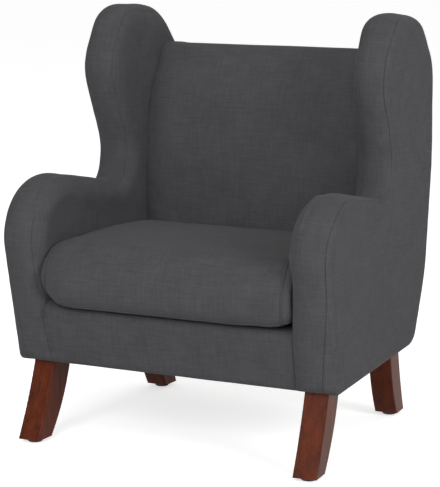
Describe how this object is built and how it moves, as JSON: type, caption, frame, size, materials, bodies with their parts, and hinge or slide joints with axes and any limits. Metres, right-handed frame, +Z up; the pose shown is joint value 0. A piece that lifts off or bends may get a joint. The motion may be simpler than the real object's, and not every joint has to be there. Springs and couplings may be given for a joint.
{
  "type": "child wingback chair",
  "caption": "Upholstered child's wingback armchair with rolled arms, curved back, swept wooden legs and a loose seat cushion that slides out.",
  "frame": {"origin": "on the floor under the middle of the chair", "axes": "+Z up, the chair faces -Y, +X towards the sitter's left"},
  "size_m": [0.5598, 0.5147, 0.6866],
  "materials": {
    "upholstery_cloth": "plain-woven charcoal polyester",
    "deck_cloth": "black lining cloth",
    "foam": "polyurethane foam",
    "wadding": "polyester wadding",
    "webbing": "woven elastic webbing",
    "plywood": "sanded, unfinished",
    "frame_timber": "planed, unfinished",
    "lacquered_wood": "dark mahogany stain under gloss lacquer",
    "steel": "zinc plated",
    "black_plastic": "moulded"
  },
  "bodies": {
    "chair": {"back_cover": "upholstery_cloth", "back_foam": "foam", "back_low_rail": "frame_timber", "back_top_rail": "frame_timber", "back_webbing": "webbing", "deck_cover": "deck_cloth", "deck_pad": "foam", "dust_cover": "deck_cloth", "dust_cover_staples": "steel", "front_cover": "upholstery_cloth", "front_foam": "foam", "front_left_leg": "lacquered_wood", "front_rail": "frame_timber", "front_right_leg": "lacquered_wood", "glide_nails": "steel", "left_back_post": "frame_timber", "left_corner_brace": "frame_timber", "left_edge_foam": "foam", "left_edge_strip": "upholstery_cloth", "left_inner_board": "plywood", "left_inner_cover": "upholstery_cloth", "left_inner_foam": "foam", "left_outer_board": "plywood", "left_outer_cover": "upholstery_cloth", "left_outer_wadding": "wadding", "left_seat_rail": "frame_timber", "left_side_battens": "frame_timber", "leg_blocks": "frame_timber", "leg_bolts": "steel", "leg_glides": "black_plastic", "leg_inserts": "steel", "outer_back_cover": "upholstery_cloth", "rail_screws": "steel", "rear_left_leg": "lacquered_wood", "rear_rail": "frame_timber", "rear_right_leg": "lacquered_wood", "right_back_post": "frame_timber", "right_corner_brace": "frame_timber", "right_edge_foam": "foam", "right_edge_strip": "upholstery_cloth", "right_inner_board": "plywood", "right_inner_cover": "upholstery_cloth", "right_inner_foam": "foam", "right_outer_board": "plywood", "right_outer_cover": "upholstery_cloth", "right_outer_wadding": "wadding", "right_seat_rail": "frame_timber", "right_side_battens": "frame_timber", "seat_webbing": "webbing", "webbing_staples": "steel"},
    "cushion": {"cushion_cover": "upholstery_cloth", "cushion_foam": "foam", "cushion_zip": "black_plastic", "cushion_zip_pull": "black_plastic"}
  },
  "joints": [
    {"name": "cushion_slide", "type": "slide", "parent": "chair", "child": "cushion", "axis": [0, -1, 0], "range_m": [0, 0.36]}
  ]
}
